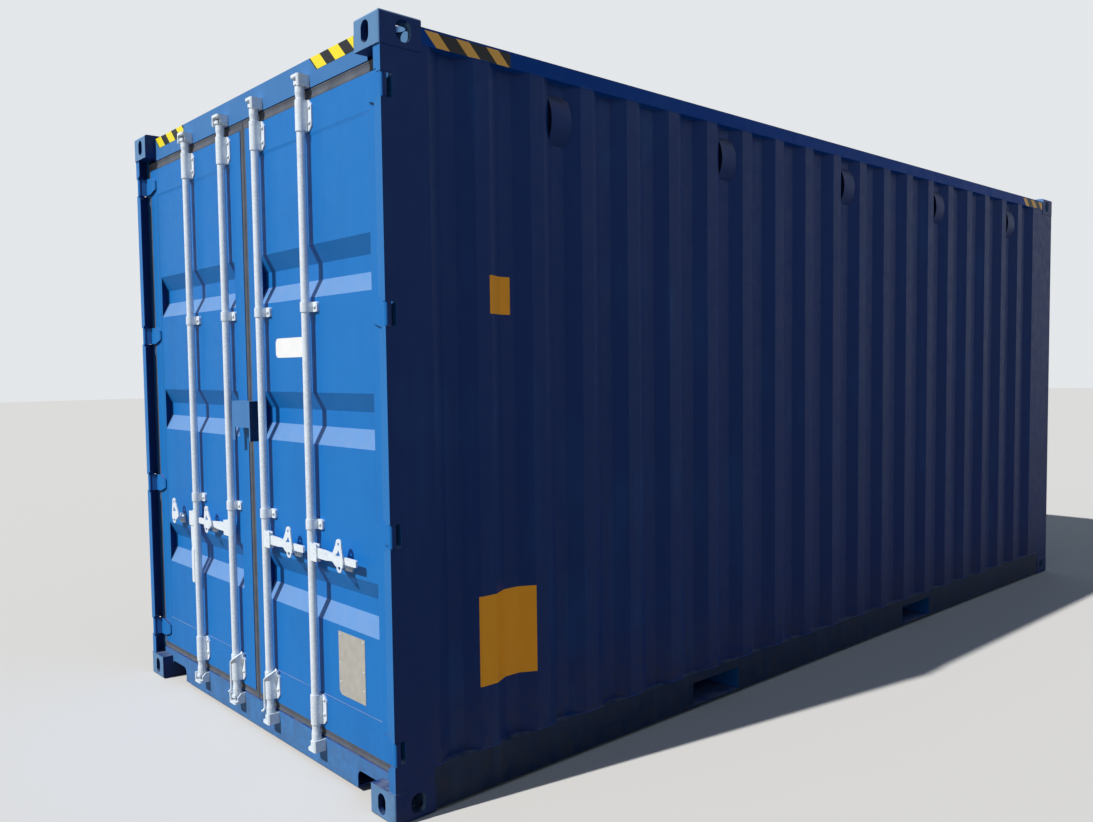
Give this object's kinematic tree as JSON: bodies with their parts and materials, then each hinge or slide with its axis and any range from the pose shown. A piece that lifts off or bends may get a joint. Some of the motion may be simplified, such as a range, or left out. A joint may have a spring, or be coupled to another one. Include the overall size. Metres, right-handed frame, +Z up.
{
  "type": "shipping container",
  "caption": "Steel dry cargo container with corrugated walls, corner castings, fork pockets and two rear doors locked by turning bars with lift-up handles.",
  "frame": {"origin": "centre of the footprint at the undersides of the bottom castings", "axes": "+Y along the length away from the doors, +X across, +Z up"},
  "size_m": [2.438, 6.058, 2.896],
  "materials": {
    "blue_paint": "satin paint on steel",
    "zinc": "galvanised",
    "plate": "bare sheet",
    "gasket": "matt, dusty",
    "plywood": "oiled plywood"
  },
  "bodies": {
    "frame": {"castings_top": "blue_paint", "castings_bottom": "blue_paint", "rear_post_left": "blue_paint", "rear_post_right": "blue_paint", "front_posts": "blue_paint", "door_header": "blue_paint", "door_sill": "blue_paint", "front_top_rail": "blue_paint", "front_bottom_rail": "blue_paint", "top_side_rails": "blue_paint", "bottom_rail_left": "blue_paint", "bottom_rail_right": "blue_paint", "side_wall_left": "blue_paint", "side_wall_right": "blue_paint", "front_wall": "blue_paint", "roof": "blue_paint", "floor_boards": "plywood", "floor_centre_rail": "blue_paint", "cross_members": "blue_paint", "fork_pocket_rear": "blue_paint", "fork_pocket_front": "blue_paint", "header_keepers": "zinc", "sill_keepers": "zinc", "hinge_pins": "zinc", "side_vents": "blue_paint"},
    "door_left": {"door_frame_left": "blue_paint", "door_panel_left": "blue_paint", "door_gasket_left": "gasket", "hinge_blades_left": "blue_paint", "bar_bearings_left": "zinc", "handle_retainers_left": "zinc", "lock_box": "blue_paint"},
    "door_right": {"door_frame_right": "blue_paint", "door_panel_right": "blue_paint", "door_gasket_right": "gasket", "hinge_blades_right": "blue_paint", "bar_bearings_right": "zinc", "handle_retainers_right": "zinc", "data_plate": "plate"},
    "bar_1": {"locking_bar_1": "zinc"},
    "lever_1": {"handle_1": "zinc"},
    "bar_2": {"locking_bar_2": "zinc"},
    "lever_2": {"handle_2": "zinc"},
    "bar_3": {"locking_bar_3": "zinc"},
    "lever_3": {"handle_3": "zinc"},
    "bar_4": {"locking_bar_4": "zinc"},
    "lever_4": {"handle_4": "zinc"}
  },
  "joints": [
    {"name": "door_left_swing", "type": "hinge", "parent": "frame", "child": "door_left", "pos_m": [-1.203, -3.007, 1.448], "axis": [0, 0, -1], "range_deg": [0, 264]},
    {"name": "door_right_swing", "type": "hinge", "parent": "frame", "child": "door_right", "pos_m": [1.203, -3.007, 1.448], "axis": [0, 0, 1], "range_deg": [0, 264]},
    {"name": "bar_1_turn", "type": "hinge", "parent": "door_left", "child": "bar_1", "pos_m": [-0.592, -3.001, 1.448], "axis": [0, 0, -1], "range_deg": [-100, 0]},
    {"name": "handle_1_lift", "type": "hinge", "parent": "bar_1", "child": "lever_1", "pos_m": [-0.632, -3.006, 0.92], "axis": [0, 1, 0], "range_deg": [0, 60]},
    {"name": "bar_2_turn", "type": "hinge", "parent": "door_left", "child": "bar_2", "pos_m": [-0.176, -3.001, 1.448], "axis": [0, 0, -1], "range_deg": [-100, 0]},
    {"name": "handle_2_lift", "type": "hinge", "parent": "bar_2", "child": "lever_2", "pos_m": [-0.216, -3.006, 0.92], "axis": [0, 1, 0], "range_deg": [0, 35]},
    {"name": "bar_3_turn", "type": "hinge", "parent": "door_right", "child": "bar_3", "pos_m": [0.176, -3.001, 1.448], "axis": [0, 0, 1], "range_deg": [-100, 0]},
    {"name": "handle_3_lift", "type": "hinge", "parent": "bar_3", "child": "lever_3", "pos_m": [0.216, -3.006, 0.92], "axis": [0, -1, 0], "range_deg": [0, 35]},
    {"name": "bar_4_turn", "type": "hinge", "parent": "door_right", "child": "bar_4", "pos_m": [0.592, -3.001, 1.448], "axis": [0, 0, 1], "range_deg": [-100, 0]},
    {"name": "handle_4_lift", "type": "hinge", "parent": "bar_4", "child": "lever_4", "pos_m": [0.632, -3.006, 0.92], "axis": [0, -1, 0], "range_deg": [0, 35]}
  ]
}
